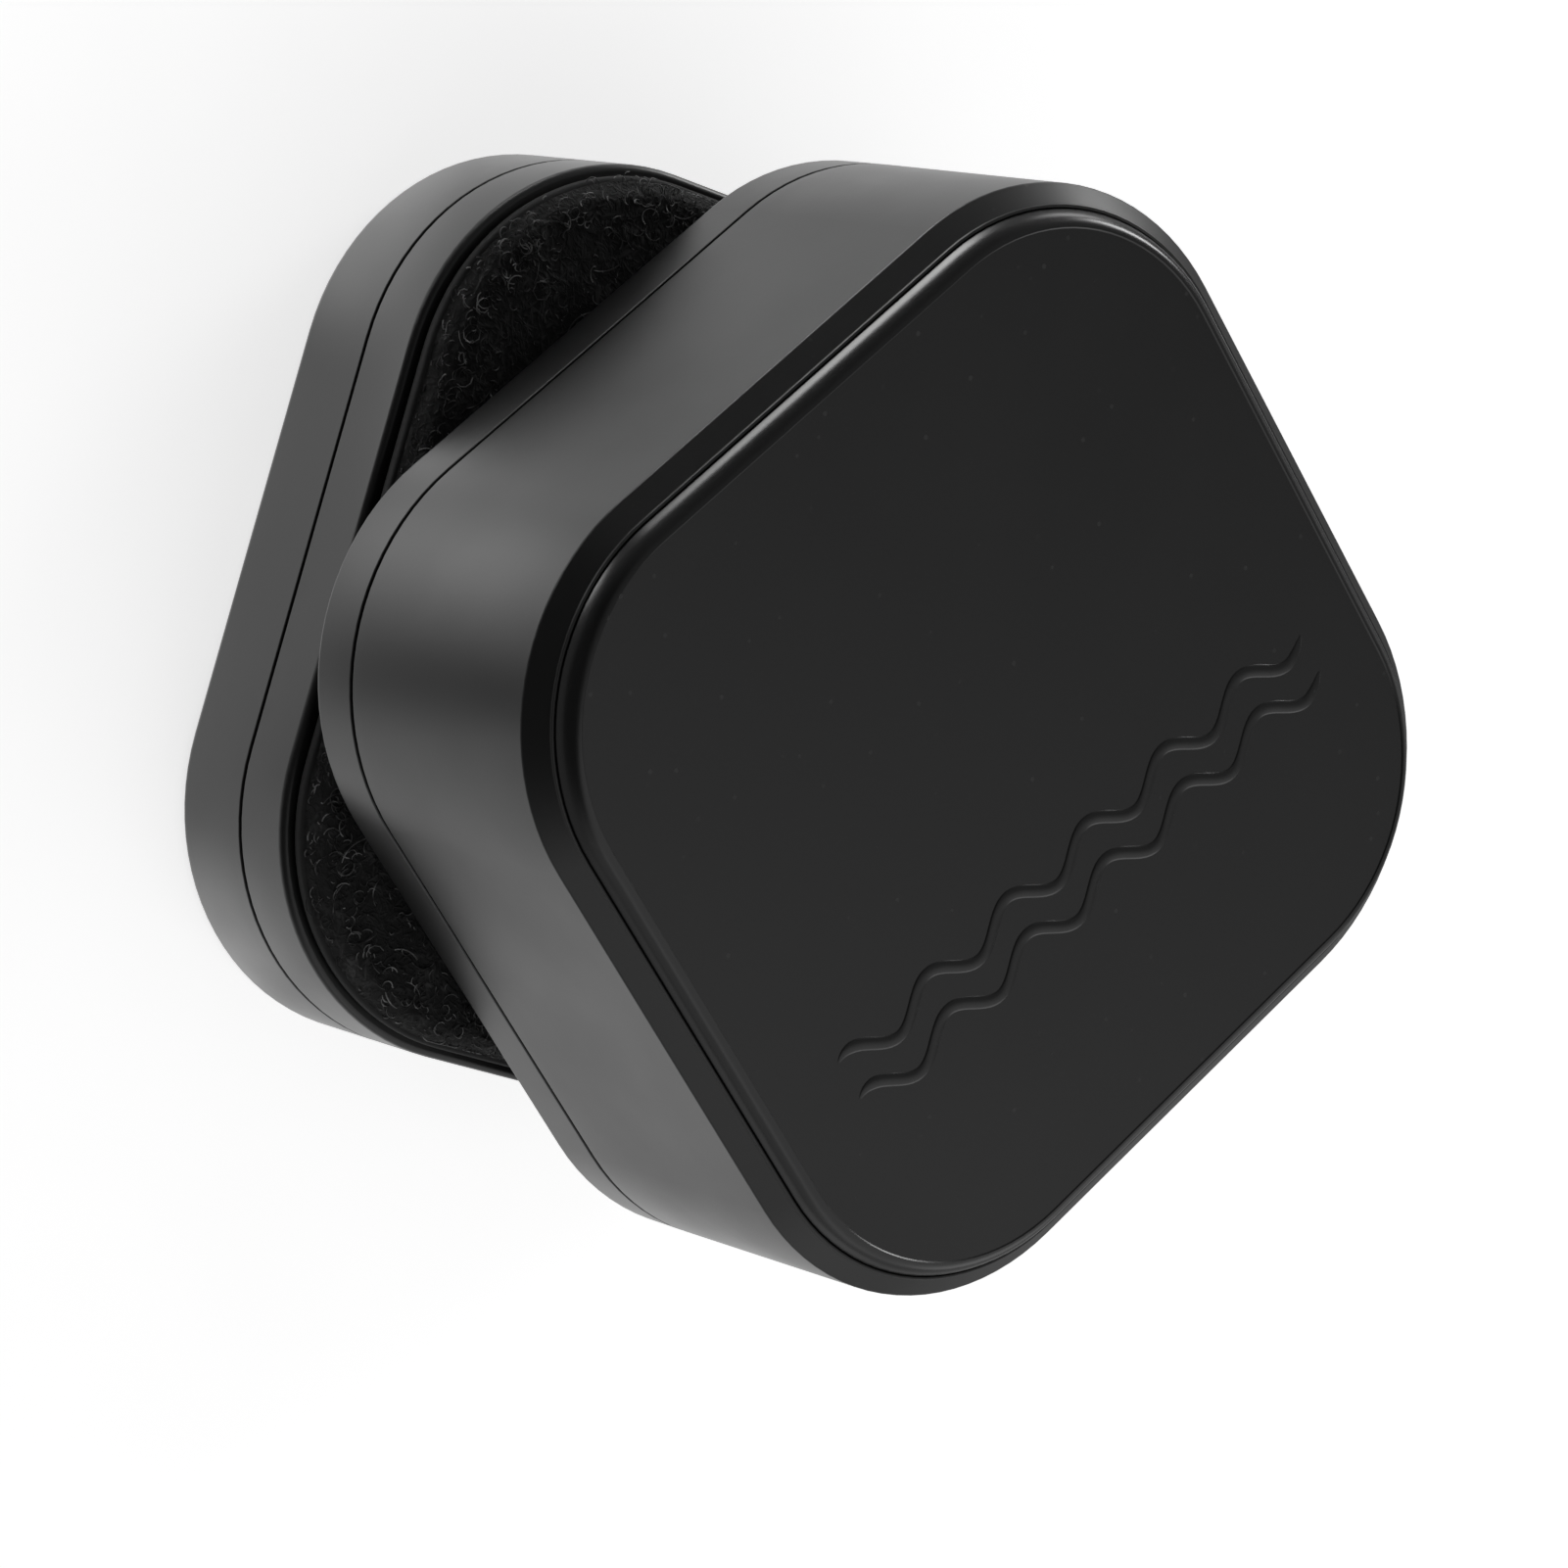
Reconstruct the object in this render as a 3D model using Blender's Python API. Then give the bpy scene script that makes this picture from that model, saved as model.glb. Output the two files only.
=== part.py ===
"""Magnetic glass cleaner: two rounded-square halves that clamp a glass wall by magnetism.

The thin wet half lies on its back at the origin, and the thick dry half stands on it, pad to pad.
The dry half is twisted about the stack axis (+Z) and sits slightly off centre.
"""

import math

import bmesh
import bpy
from mathutils import Matrix, Vector

MM = 0.001

# Outline shared by both halves
SIDE = 56.0 * MM
CORNER = 15.2 * MM
CORNER_STEPS = 8

# How the dry half sits on the wet half
TWIST = math.radians(-37.1)
SHIFT = Vector((0.95 * MM, 1.57 * MM, 0.0))

# Wall thicknesses and clearances
WALL = 2.0 * MM
FLOOR = 1.6 * MM
GAP = 0.3 * MM
FINE_GAP = 0.15 * MM
PARTING = 0.25 * MM
LIP = 1.2 * MM
SKIRT_DROP = 2.8 * MM
FIT_SIDE = SIDE - 2 * WALL - 2 * GAP
FIT_CORNER = CORNER - WALL - GAP
BORE_SIDE = FIT_SIDE - 2 * LIP
BORE_CORNER = FIT_CORNER - LIP

# Heights of the wet half above the surface it lies on
INNER_PARTING = 7.25 * MM
INNER_TOP = 12.15 * MM
LEDGE_TOP = 3.1 * MM

# Pads between the halves
ADHESIVE = 0.25 * MM
SCRUB = 2.45 * MM
FELT = 2.0 * MM
SCRUB_LOW = INNER_TOP + ADHESIVE + 2 * FINE_GAP
SCRUB_TOP = SCRUB_LOW + SCRUB
FELT_LOW = SCRUB_TOP + GAP

# Heights of the dry half
OUTER_RIM = 16.6 * MM
RECESS_TOP = FELT_LOW + FELT + ADHESIVE + 2 * FINE_GAP
OUTER_PARTING = OUTER_RIM + 4.03 * MM
BEVEL_TOP = OUTER_RIM + 22.85 * MM
FACE_TOP = OUTER_RIM + 24.2 * MM
BEVEL = 1.0 * MM
DRAFT = 0.995
SEAT_SIDE = 52.8 * MM
SEAT_CORNER = 13.7 * MM
SEAT_DEPTH = 1.0 * MM
PLATE_SOFTNESS = 1.0 * MM

# Magnet packs
CUP_R = 18.0 * MM
CUP_WALL = 1.5 * MM
MAGNET_R = 15.0 * MM
INNER_CUP_HEIGHT = INNER_TOP - 2 * FLOOR - 2 * GAP
OUTER_CUP_HEIGHT = 9.0 * MM

# Cradle, its screws and the plate's pegs
BOSS_AT = 17.0 * MM
BOSS_R = 3.0 * MM
PLATE_THICK = 2.0 * MM
SHANK_R = 1.0 * MM
HEAD_R = 2.3 * MM
HEAD_HEIGHT = 1.7 * MM
PEG_AT = 9.0 * MM
PEG_R = 1.2 * MM

# Colours: base colour, roughness, metallic
BLACK_PLASTIC = ((0.018, 0.018, 0.019), 0.34, 0.0)
DARK_PLASTIC = ((0.030, 0.030, 0.032), 0.50, 0.0)
LOOP_FABRIC = ((0.008, 0.008, 0.008), 0.62, 0.0)
GREY_FELT = ((0.050, 0.050, 0.052), 0.92, 0.0)
NICKEL = ((0.620, 0.600, 0.560), 0.18, 1.0)
ZINCED_STEEL = ((0.480, 0.490, 0.500), 0.35, 1.0)
BLACK_RUBBER = ((0.015, 0.015, 0.015), 0.70, 0.0)
WHITE_FOAM = ((0.780, 0.780, 0.760), 0.90, 0.0)
CLEAR_TAPE = ((0.700, 0.680, 0.600), 0.45, 0.0)


def clear_scene():
    """Remove every object the file opened with."""
    for obj in list(bpy.data.objects):
        bpy.data.objects.remove(obj, do_unlink=True)


def new_collection(name):
    """A collection under the scene's own."""
    made = bpy.data.collections.new(name)
    bpy.context.scene.collection.children.link(made)
    return made


clear_scene()
PARTS = new_collection("magnetic_glass_cleaner")
CUTTERS = new_collection("cutters")


def make_material(name, look):
    """A Principled material from a base colour, roughness and metallic value."""
    colour, roughness, metallic = look
    material = bpy.data.materials.new(name)
    material.use_nodes = True
    shader = material.node_tree.nodes["Principled BSDF"]
    shader.inputs["Base Color"].default_value = (*colour, 1.0)
    shader.inputs["Roughness"].default_value = roughness
    shader.inputs["Metallic"].default_value = metallic
    return material


def add_object(name, bm, collection):
    """An object from a bmesh, in the given collection."""
    mesh = bpy.data.meshes.new(name)
    bmesh.ops.recalc_face_normals(bm, faces=bm.faces)
    bm.to_mesh(mesh)
    bm.free()
    obj = bpy.data.objects.new(name, mesh)
    collection.objects.link(obj)
    return obj


def rounded_block(side, corner, low, high):
    """A bmesh block with a square outline, rounded corners and flat ends at two heights."""
    bm = bmesh.new()
    size = Matrix.Diagonal((side, side, high - low, 1.0))
    rise = Matrix.Translation((0.0, 0.0, (low + high) / 2))
    bmesh.ops.create_cube(bm, size=1.0, matrix=rise @ size)
    upright = [e for e in bm.edges if abs(e.verts[0].co.z - e.verts[1].co.z) > (high - low) / 2]
    bmesh.ops.bevel(
        bm, geom=upright, offset=corner, segments=CORNER_STEPS, profile=0.5, affect="EDGES"
    )
    return bm


def soften_end(bm, height, width, segments):
    """Bevel the outline edges that lie at one height of a block."""
    rim = [e for e in bm.edges if all(abs(v.co.z - height) < 1e-6 for v in e.verts)]
    bmesh.ops.bevel(
        bm, geom=rim, offset=width, segments=segments, profile=0.5, affect="EDGES"
    )


def round_block(radius, low, high, sides, x=0.0, y=0.0):
    """A bmesh cylinder between two heights."""
    bm = bmesh.new()
    place = Matrix.Translation((x, y, (low + high) / 2))
    bmesh.ops.create_cone(
        bm, cap_ends=True, segments=sides, radius1=radius, radius2=radius,
        depth=high - low, matrix=place,
    )
    return bm


def helper(name, bm):
    """A cutting or joining body that isn't part of the object itself."""
    obj = add_object(name, bm, CUTTERS)
    obj.hide_render = True
    obj.display_type = "WIRE"
    return obj


def combine(obj, other, operation):
    """Cut from or join to an object with an exact Boolean."""
    modifier = obj.modifiers.new(other.name, "BOOLEAN")
    modifier.operation = operation
    modifier.solver = "EXACT"
    modifier.object = other
    other.parent = obj.parent


def finish_part(obj, look, parent):
    """Parent a piece, dress it and shade its round faces smooth."""
    obj.parent = parent
    for modifier in obj.modifiers:
        modifier.object.parent = parent
    obj.data.materials.append(make_material(obj.name, look))
    obj.data.shade_smooth()
    obj.data.set_sharp_from_angle(angle=math.radians(35.0))
    return obj


def make_anchor(name, location, angle):
    """An empty that places the pieces of one body."""
    anchor = bpy.data.objects.new(name, None)
    anchor.location = location
    anchor.rotation_euler = (0.0, 0.0, angle)
    PARTS.objects.link(anchor)
    return anchor


def make_inner_back_shell(parent):
    """Shallow tub with a soft back edge and a ledge for the seal."""
    bm = rounded_block(SIDE, CORNER, 0.0, INNER_PARTING - PARTING / 2)
    soften_end(bm, 0.0, 0.8 * MM, 3)
    shell = add_object("inner_back_shell", bm, PARTS)
    reach = INNER_PARTING + WALL
    lower = rounded_block(BORE_SIDE - GAP, BORE_CORNER, FLOOR, reach)
    combine(shell, helper("inner_shell_bore", lower), "DIFFERENCE")
    upper = rounded_block(SIDE - 2 * WALL, CORNER - WALL, LEDGE_TOP, reach)
    combine(shell, helper("inner_shell_mouth", upper), "DIFFERENCE")
    return finish_part(shell, BLACK_PLASTIC, parent)


def make_inner_pad_cover(parent):
    """Pad-side cover of the wet half, with its skirt inside the back shell."""
    bm = rounded_block(SIDE, CORNER, INNER_PARTING + PARTING / 2, INNER_TOP)
    soften_end(bm, INNER_TOP, 0.4 * MM, 2)
    cover = add_object("inner_pad_cover", bm, PARTS)
    skirt_low = INNER_PARTING - SKIRT_DROP
    skirt = rounded_block(FIT_SIDE, FIT_CORNER, skirt_low, INNER_PARTING + WALL)
    combine(cover, helper("inner_cover_skirt", skirt), "UNION")
    bore = rounded_block(BORE_SIDE, BORE_CORNER, skirt_low - WALL, INNER_TOP - FLOOR)
    combine(cover, helper("inner_cover_bore", bore), "DIFFERENCE")
    return finish_part(cover, BLACK_PLASTIC, parent)


def make_inner_seal(parent):
    """Rubber ring squeezed between the ledge and the skirt's foot."""
    low = LEDGE_TOP + FINE_GAP
    high = INNER_PARTING - SKIRT_DROP - FINE_GAP
    bm = rounded_block(FIT_SIDE, FIT_CORNER, low, high)
    seal = add_object("inner_seal", bm, PARTS)
    hole = rounded_block(BORE_SIDE + GAP, BORE_CORNER, low - WALL, high + WALL)
    combine(seal, helper("inner_seal_hole", hole), "DIFFERENCE")
    return finish_part(seal, BLACK_RUBBER, parent)


def make_cup(name, floor_at, rim_at, parent):
    """Steel pot: its floor starts at one height and its mouth opens at the other."""
    way = 1.0 if rim_at > floor_at else -1.0
    bm = round_block(CUP_R, min(floor_at, rim_at), max(floor_at, rim_at), 48)
    soften_end(bm, floor_at, 0.6 * MM, 2)
    cup = add_object(name, bm, PARTS)
    ends = sorted((floor_at + way * CUP_WALL, rim_at + way * WALL))
    hollow = round_block(CUP_R - CUP_WALL, ends[0], ends[1], 48)
    combine(cup, helper(name + "_hollow", hollow), "DIFFERENCE")
    return finish_part(cup, ZINCED_STEEL, parent)


def make_magnet(name, low, high, parent):
    """Disc magnet with slightly broken edges."""
    bm = round_block(MAGNET_R, low, high, 48)
    soften_end(bm, low, 0.3 * MM, 1)
    soften_end(bm, high, 0.3 * MM, 1)
    return finish_part(add_object(name, bm, PARTS), NICKEL, parent)


def make_foam_collar(parent):
    """Foam that fills the wet half round its steel pot."""
    low = FLOOR + GAP
    high = INNER_TOP - FLOOR - GAP
    bm = rounded_block(BORE_SIDE - 3 * GAP, BORE_CORNER - GAP, low, high)
    collar = add_object("inner_foam_collar", bm, PARTS)
    hole = round_block(CUP_R + GAP, low - WALL, high + WALL, 48)
    combine(collar, helper("foam_collar_hole", hole), "DIFFERENCE")
    return finish_part(collar, WHITE_FOAM, parent)


def make_sheet(name, side, corner, low, high, look, parent, edge=0.0):
    """A flat pad or film with a rounded-square outline."""
    bm = rounded_block(side, corner, low, high)
    if edge:
        soften_end(bm, low, edge, 2)
        soften_end(bm, high, edge, 2)
    return finish_part(add_object(name, bm, PARTS), look, parent)


def make_outer_pad_cover(parent):
    """Pad-side cover of the dry half: a recess below and a skirt above."""
    bm = rounded_block(SIDE, CORNER, OUTER_RIM, OUTER_PARTING - PARTING / 2)
    soften_end(bm, OUTER_RIM, 0.4 * MM, 2)
    cover = add_object("outer_pad_cover", bm, PARTS)
    skirt_top = OUTER_PARTING + SKIRT_DROP
    skirt = rounded_block(FIT_SIDE, FIT_CORNER, OUTER_PARTING - WALL, skirt_top)
    combine(cover, helper("outer_cover_skirt", skirt), "UNION")
    recess = rounded_block(SIDE - 3.6 * MM, CORNER - 1.8 * MM, OUTER_RIM - WALL, RECESS_TOP)
    combine(cover, helper("outer_cover_recess", recess), "DIFFERENCE")
    bore = rounded_block(BORE_SIDE, BORE_CORNER, RECESS_TOP + FLOOR, skirt_top + WALL)
    combine(cover, helper("outer_cover_bore", bore), "DIFFERENCE")
    return finish_part(cover, BLACK_PLASTIC, parent)


def corner_points(distance):
    """The four points at the corners of a square, each this far out along X and Y."""
    return [(distance * sx, distance * sy) for sx, sy in ((1, 1), (-1, 1), (-1, -1), (1, -1))]


def make_outer_shell(parent):
    """Deep tub with a bevelled front, a seat for the face plate and four screw bosses."""
    low = OUTER_PARTING + PARTING / 2
    bm = rounded_block(SIDE, CORNER, low, BEVEL_TOP)
    for vert in bm.verts:
        if vert.co.z > (low + BEVEL_TOP) / 2:
            vert.co.xy = vert.co.xy * DRAFT
    soften_end(bm, BEVEL_TOP, BEVEL, 1)
    shell = add_object("outer_shell", bm, PARTS)
    ceiling = BEVEL_TOP - SEAT_DEPTH - 1.7 * MM
    bore = rounded_block(SIDE - 2 * WALL, CORNER - WALL, low - WALL, ceiling)
    combine(shell, helper("outer_shell_bore", bore), "DIFFERENCE")
    seat = rounded_block(SEAT_SIDE, SEAT_CORNER, BEVEL_TOP - SEAT_DEPTH, BEVEL_TOP + WALL)
    combine(shell, helper("outer_shell_seat", seat), "DIFFERENCE")
    foot = cradle_top() + GAP
    for count, (x, y) in enumerate(corner_points(BOSS_AT), 1):
        boss = round_block(BOSS_R, foot, ceiling + 0.8 * MM, 20, x, y)
        combine(shell, helper(f"boss_{count}", boss), "UNION")
    for count, (x, y) in enumerate(corner_points(BOSS_AT), 1):
        pilot = round_block(SHANK_R + GAP, foot - WALL, ceiling - 1.0 * MM, 16, x, y)
        combine(shell, helper(f"boss_pilot_{count}", pilot), "DIFFERENCE")
    for count, (x, y) in enumerate(corner_points(PEG_AT), 1):
        hole = round_block(PEG_R + GAP, ceiling - WALL, BEVEL_TOP, 16, x, y)
        combine(shell, helper(f"peg_hole_{count}", hole), "DIFFERENCE")
    return finish_part(shell, BLACK_PLASTIC, parent)


def make_face_plate(parent):
    """Raised front panel with a soft edge and four locating pegs behind it."""
    low = BEVEL_TOP - SEAT_DEPTH + GAP
    bm = rounded_block(SEAT_SIDE - 2 * FINE_GAP, SEAT_CORNER - FINE_GAP, low, FACE_TOP)
    soften_end(bm, FACE_TOP, PLATE_SOFTNESS, 3)
    plate = add_object("outer_face_plate", bm, PARTS)
    for count, (x, y) in enumerate(corner_points(PEG_AT), 1):
        peg = round_block(PEG_R, low - 2.2 * MM, low + 0.6 * MM, 16, x, y)
        combine(plate, helper(f"plate_peg_{count}", peg), "UNION")
    return finish_part(plate, BLACK_PLASTIC, parent)


def cup_low():
    """Height of the mouth of the dry half's steel pot."""
    return RECESS_TOP + FLOOR + GAP


def cradle_low():
    """Underside of the cradle's plate, just clear of the pot's floor."""
    return cup_low() + OUTER_CUP_HEIGHT + GAP


def cradle_top():
    """Upper side of the cradle's plate."""
    return cradle_low() + PLATE_THICK


def make_cradle(parent):
    """Moulded frame: a plate with a collar that drops round the steel pot."""
    bm = rounded_block(46.0 * MM, 10.0 * MM, cradle_low(), cradle_top())
    cradle = add_object("outer_magnet_cradle", bm, PARTS)
    collar = round_block(CUP_R + GAP + 2.0 * MM, cup_low() + 3.0 * MM, cradle_low() + MM, 48)
    combine(cradle, helper("cradle_collar", collar), "UNION")
    pocket = round_block(CUP_R + GAP, cup_low(), cradle_low(), 48)
    combine(cradle, helper("cradle_pocket", pocket), "DIFFERENCE")
    window = round_block(7.0 * MM, cradle_low() - WALL, cradle_top() + WALL, 24)
    combine(cradle, helper("cradle_window", window), "DIFFERENCE")
    for count, (x, y) in enumerate(corner_points(BOSS_AT), 1):
        hole = round_block(SHANK_R + GAP, cradle_low() - WALL, cradle_top() + WALL, 16, x, y)
        combine(cradle, helper(f"cradle_hole_{count}", hole), "DIFFERENCE")
    return finish_part(cradle, DARK_PLASTIC, parent)


def make_screws(parent):
    """Four cross-slotted pan-head screws that hold the cradle to the shell."""
    top = cradle_low() - FINE_GAP
    tip = cradle_top() + GAP + 3.6 * MM
    for count, (x, y) in enumerate(corner_points(BOSS_AT), 1):
        bm = round_block(HEAD_R, top - HEAD_HEIGHT, top, 20, x, y)
        soften_end(bm, top - HEAD_HEIGHT, 0.5 * MM, 2)
        screw = add_object(f"cradle_screw_{count}", bm, PARTS)
        shank = round_block(SHANK_R, top - 0.8 * MM, tip, 12, x, y)
        combine(screw, helper(f"shank_{count}", shank), "UNION")
        for turn in (0.0, math.pi / 2):
            slot = bmesh.new()
            place = Matrix.Translation((x, y, top - HEAD_HEIGHT)) @ Matrix.Rotation(turn, 4, "Z")
            size = Matrix.Diagonal((2.6 * MM, 0.6 * MM, 1.6 * MM, 1.0))
            bmesh.ops.create_cube(slot, size=1.0, matrix=place @ size)
            combine(screw, helper(f"slot_{count}_{round(turn)}", slot), "DIFFERENCE")
        finish_part(screw, ZINCED_STEEL, parent)


def make_inner_half():
    """The wet half, which lies on its back."""
    base = make_anchor("inner_half", (0.0, 0.0, 0.0), 0.0)
    make_inner_back_shell(base)
    make_inner_pad_cover(base)
    make_inner_seal(base)
    low = FLOOR + GAP
    high = low + INNER_CUP_HEIGHT
    make_cup("inner_steel_cup", low, high, base)
    make_magnet("inner_magnet", low + CUP_WALL + GAP, high, base)
    make_foam_collar(base)
    glue_low = INNER_TOP + FINE_GAP
    make_sheet(
        "inner_pad_adhesive", SIDE - 2.6 * MM, CORNER - 1.3 * MM,
        glue_low, glue_low + ADHESIVE, CLEAR_TAPE, base,
    )
    make_sheet(
        "inner_scrub_pad", SIDE - 1.4 * MM, CORNER - 0.7 * MM,
        SCRUB_LOW, SCRUB_TOP, LOOP_FABRIC, base, 0.4 * MM,
    )


def make_magnet_pack():
    """The dry half's steel pot and magnet, round about the twist axis."""
    pack = make_anchor("outer_magnet_pack", SHIFT, 0.0)
    low = cup_low()
    high = low + OUTER_CUP_HEIGHT
    make_cup("outer_steel_cup", high, low, pack)
    make_magnet("outer_magnet", low, high - CUP_WALL - GAP, pack)


def make_outer_half():
    """The dry half's housing, pad and fasteners, twisted on the wet half."""
    handle = make_anchor("outer_half", SHIFT, TWIST)
    make_outer_pad_cover(handle)
    make_outer_shell(handle)
    make_face_plate(handle)
    make_cradle(handle)
    make_screws(handle)
    make_sheet(
        "outer_felt_pad", SIDE - 4.2 * MM, CORNER - 2.1 * MM,
        FELT_LOW, FELT_LOW + FELT, GREY_FELT, handle, 0.3 * MM,
    )
    glue_low = FELT_LOW + FELT + FINE_GAP
    make_sheet(
        "outer_pad_adhesive", SIDE - 5.0 * MM, CORNER - 2.5 * MM,
        glue_low, glue_low + ADHESIVE, CLEAR_TAPE, handle,
    )


make_inner_half()
make_magnet_pack()
make_outer_half()
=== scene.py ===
"""Looks of a two-part magnetic glass cleaner: housings, pads, magnets, studio and camera."""

import logging
import math
from dataclasses import dataclass, field
from enum import Enum
from functools import cached_property
from typing import Callable, Iterable, Sequence

import bmesh
import bpy
import numpy as np
from mathutils import Matrix, Vector


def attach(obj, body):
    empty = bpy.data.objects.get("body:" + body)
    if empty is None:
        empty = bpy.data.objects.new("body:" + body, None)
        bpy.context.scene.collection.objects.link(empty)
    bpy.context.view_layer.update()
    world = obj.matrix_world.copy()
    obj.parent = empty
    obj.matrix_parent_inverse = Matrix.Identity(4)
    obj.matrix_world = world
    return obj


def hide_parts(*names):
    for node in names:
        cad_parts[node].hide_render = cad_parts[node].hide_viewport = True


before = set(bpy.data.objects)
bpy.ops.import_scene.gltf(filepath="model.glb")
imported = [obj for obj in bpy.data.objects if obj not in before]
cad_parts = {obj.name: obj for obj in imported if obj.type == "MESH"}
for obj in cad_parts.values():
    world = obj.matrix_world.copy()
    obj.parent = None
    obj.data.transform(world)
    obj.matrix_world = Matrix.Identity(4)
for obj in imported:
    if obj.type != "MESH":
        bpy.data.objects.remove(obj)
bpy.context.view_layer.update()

LOG = logging.getLogger("glass_cleaner")
MM = 0.001

Point2 = tuple[float, float]
Point3 = tuple[float, float, float]
Profile = list[Point2]
Face = tuple[int, ...]


class Body(Enum):
    """The bodies that the new pieces ride on."""

    WET = "wet_half"
    DRY = "dry_half"


class Slot(Enum):
    """The record's material slots named for the new pieces."""

    HOUSING = "black_housing"
    BRISTLE = "looped_bristle"
    FELT = "grey_felt"
    FOAM = "white_foam"


class Cut(Enum):
    """How solids are combined."""

    JOIN = "UNION"
    REMOVE = "DIFFERENCE"


# ---------------------------------------------------------------- shapes

CORNERS = ((1, 1), (-1, 1), (-1, -1), (1, -1))
CORE = 8.0  # half width of the flat caps that end a profile


@dataclass(frozen=True)
class Outline:
    """Rounded-square outline shared by every piece, in millimetres.

    All outlines are offsets of one another, so one half width sets the corner radius too.
    """

    half: float = 28.0
    corner: float = 15.2
    arc_steps: int = 22
    straight_steps: int = 10
    least_roundness: float = 0.30

    def radius_at(self, half: float) -> float:
        """Corner radius of the offset outline with this half width."""
        return min(max(self.corner - (self.half - half), self.least_roundness * half), half)

    def points(self, half: float) -> np.ndarray:
        """Points round one offset outline.

        Args:
            half: Half width of the outline in millimetres.

        Returns:
            An array of (x, y) rows, anticlockwise.
        """
        radius = self.radius_at(half)
        centres = (half - radius) * np.array(CORNERS)
        share = np.arange(self.straight_steps)[:, None] / self.straight_steps
        rows = []
        for quarter, centre in enumerate(centres):
            angles = (quarter + np.linspace(0, 1, self.arc_steps + 1)) * math.pi / 2
            arc = centre + radius * np.c_[np.cos(angles), np.sin(angles)]
            side = centres[(quarter + 1) % 4] - centre
            rows += [arc[:-1], arc[-1] + side * share]
        return np.vstack(rows)


@dataclass(frozen=True)
class Placement:
    """Where a body's pieces stand: a turn about Z and a sideways shift in millimetres."""

    degrees: float = 0.0
    shift: Point2 = (0.0, 0.0)

    def matrix(self) -> Matrix:
        """The placement as a matrix in metres."""
        move = Matrix.Translation((self.shift[0] * MM, self.shift[1] * MM, 0.0))
        return move @ Matrix.Rotation(math.radians(self.degrees), 4, "Z")


def quarter_round(half: float, height: float, wide: float, tall: float,
                  start: float, end: float, steps: int = 4) -> Profile:
    """Points along part of an elliptical edge.

    Args:
        half: Half width at the ellipse's centre.
        height: Height of the ellipse's centre.
        wide: Horizontal semi-axis.
        tall: Vertical semi-axis.
        start: First angle in degrees, 0 outward and 90 upward.
        end: Last angle in degrees.
        steps: How many pieces the edge has.

    Returns:
        (half width, height) pairs in order.
    """
    angles = np.radians(np.linspace(start, end, steps + 1))
    return [(half + wide * math.cos(a), height + tall * math.sin(a)) for a in angles]


def turning_edge(half: float, height: float,
                 stretches: Sequence[tuple[float, float, float, int]]) -> Profile:
    """Points along an edge that keeps turning from a steep flank to a flat top.

    Args:
        half: Half width where the edge starts.
        height: Height where the edge starts.
        stretches: Tilt at the start and the end in degrees, length and steps of each stretch.

    Returns:
        (half width, height) pairs in order, the start among them.
    """
    points = [(half, height)]
    for first, last, length, steps in stretches:
        for step in range(steps):
            tilt = math.radians(first + (last - first) * (step + 0.5) / steps)
            half -= math.sin(tilt) * length / steps
            height += math.cos(tilt) * length / steps
            points.append((half, height))
    return points


def skin(count: int, rings: int, closed: bool = False, start: int = 0) -> list[Face]:
    """Faces over rings of points that are numbered one ring after another.

    Args:
        count: Points in each ring.
        rings: How many rings there are.
        closed: True joins the last ring to the first; False caps both ends.
        start: Number of the first point.

    Returns:
        The faces as tuples of point numbers.
    """
    faces: list[Face] = []
    for low in range(rings if closed else rings - 1):
        lower, upper = start + low * count, start + (low + 1) % rings * count
        for at in range(count):
            after = (at + 1) % count
            faces.append((lower + at, lower + after, upper + after, upper + at))
    if not closed:
        faces.append(tuple(start + at for at in range(count - 1, -1, -1)))
        faces.append(tuple(start + (rings - 1) * count + at for at in range(count)))
    return faces


class SolidMaker:
    """Builds closed meshes from outlines stacked along a profile."""

    def __init__(self, outline: Outline, placement: Placement = Placement()) -> None:
        """Keep the outline and the place that every solid uses."""
        self.outline = outline
        self.placement = placement

    def loft(self, name: str, profile: Profile,
             moulder: Callable[[np.ndarray], np.ndarray] | None = None) -> bpy.types.Object:
        """A closed solid whose section follows a profile.

        Args:
            name: Name of the piece.
            profile: (half width, height) pairs in millimetres, capped at both ends.
            moulder: Moves the points, given and returned in millimetres.

        Returns:
            The new object, in the scene.
        """
        rings = []
        for half, high in profile:
            ring = self.outline.points(half)
            rings.append(np.c_[ring, np.full(len(ring), high)])
        points = np.vstack(rings)
        if moulder is not None:
            points = moulder(points)
        return self.from_points(name, points, skin(len(rings[0]), len(rings)))

    def from_points(self, name: str, points: np.ndarray,
                    faces: Sequence[Face]) -> bpy.types.Object:
        """An object from points in millimetres, put in place and shaded smooth."""
        mesh = bpy.data.meshes.new(name)
        mesh.from_pydata((points * MM).tolist(), [], list(faces))
        mesh.transform(self.placement.matrix())
        tidy = bmesh.new()
        tidy.from_mesh(mesh)
        bmesh.ops.recalc_face_normals(tidy, faces=tidy.faces)
        tidy.to_mesh(mesh)
        tidy.free()
        made = bpy.data.objects.new(name, mesh)
        bpy.context.scene.collection.objects.link(made)
        soften_shading(made)
        return made

    def posts(self, name: str, radius: float, low: float, high: float,
              places: Sequence[Point2], sides: int = 32) -> list[bpy.types.Object]:
        """Round posts between two heights, one at each place, for joining or cutting."""
        turn = np.linspace(0, 2 * math.pi, sides, endpoint=False)
        made = []
        for number, (x, y) in enumerate(places):
            ring = np.c_[x + radius * np.cos(turn), y + radius * np.sin(turn)]
            points = np.vstack([np.c_[ring, np.full(sides, end)] for end in (low, high)])
            made.append(self.from_points(f"{name}_{number}", points, skin(sides, 2)))
        return made


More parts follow.
